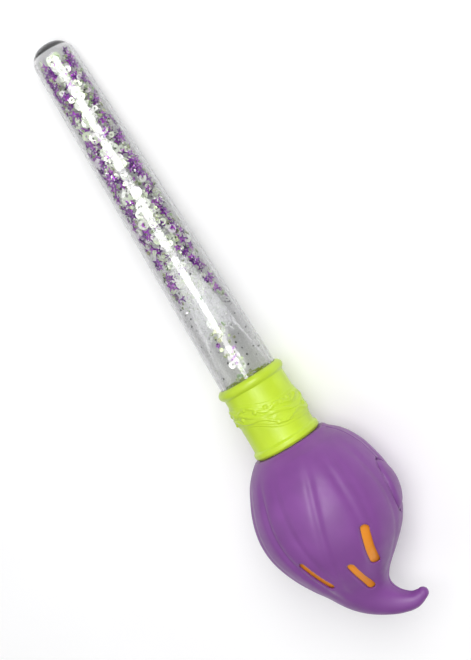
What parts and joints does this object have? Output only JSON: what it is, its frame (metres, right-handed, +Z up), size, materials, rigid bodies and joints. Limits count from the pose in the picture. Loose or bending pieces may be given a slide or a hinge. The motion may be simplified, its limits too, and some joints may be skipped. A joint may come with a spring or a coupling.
{
  "type": "toy wand",
  "caption": "Paintbrush-shaped toy wand: clear confetti tube, vine-banded ferrule and hollow onion-shaped head with curled tail, sound slots, side button and battery door.",
  "frame": {"origin": "centre of the footprint, on the surface that the wand lies on", "axes": "+X runs along the wand from the tube to the head, +Y to the side that the tail curls to, +Z up, towards the front with the sound slots"},
  "size_m": [0.3099, 0.0718, 0.0705],
  "materials": {
    "clear_plastic": "clear polished polystyrene",
    "lime_plastic": "satin moulded ABS",
    "purple_plastic": "satin moulded ABS",
    "orange_plastic": "satin moulded ABS",
    "violet_foil": "metallised film",
    "pearl_foil": "iridescent film",
    "green_foil": "metallised film",
    "black_plastic": "matt",
    "circuit": "solder mask",
    "led_white": "clear epoxy over yellow phosphor",
    "steel": "zinc or nickel plated",
    "paper": "pressed paper",
    "silicone": "translucent",
    "cell_wrap": "printed sleeve without marks",
    "wire": "PVC sleeve"
  },
  "bodies": {
    "wand": {"wand_tube": "clear_plastic", "tube_plug": "clear_plastic", "plug_seal": "silicone", "star_confetti": "violet_foil", "round_sequins": "pearl_foil", "hex_flakes": "green_foil", "ferrule": "lime_plastic", "front_shell": "purple_plastic", "back_shell": "purple_plastic", "return_spring": "steel", "switch_body": "black_plastic", "circuit_board": "circuit", "sound_chip": "black_plastic", "board_parts": "black_plastic", "light_board": "circuit", "leds": "led_white", "light_wires": "wire", "speaker_cup": "orange_plastic", "speaker_frame": "steel", "speaker_cone": "paper", "speaker_magnet": "steel", "speaker_wires": "wire", "battery_cells": "cell_wrap", "contact_plates": "steel", "contact_springs": "steel", "battery_wires": "wire", "shell_screws": "steel"},
    "button": {"side_button": "purple_plastic"},
    "plunger": {"switch_plunger": "black_plastic"},
    "door": {"battery_door": "purple_plastic"},
    "door_screw": {"door_screw": "steel"}
  },
  "joints": [
    {"name": "button_press", "type": "slide", "parent": "wand", "child": "button", "axis": [0, -1, 0], "range_m": [0, 0.0015], "stiffness_N_per_m": 600, "springref_m": -0.001, "deforming": ["return_spring"]},
    {"name": "plunger_press", "type": "slide", "parent": "wand", "child": "plunger", "axis": [0, -1, 0], "range_m": [0, 0.0015]},
    {"name": "door_lift", "type": "slide", "parent": "wand", "child": "door", "axis": [0.1031, 0, -0.9947], "range_m": [0, 0.025]},
    {"name": "door_screw_turn", "type": "hinge", "parent": "door", "child": "door_screw", "pos_m": [0.12773, -0.0037, 0.01916], "axis": [-0.1031, 0, 0.9947], "continuous": true}
  ],
  "couplings": [
    {"joint": "plunger_press", "follows": "button_press", "ratio": 1}
  ]
}
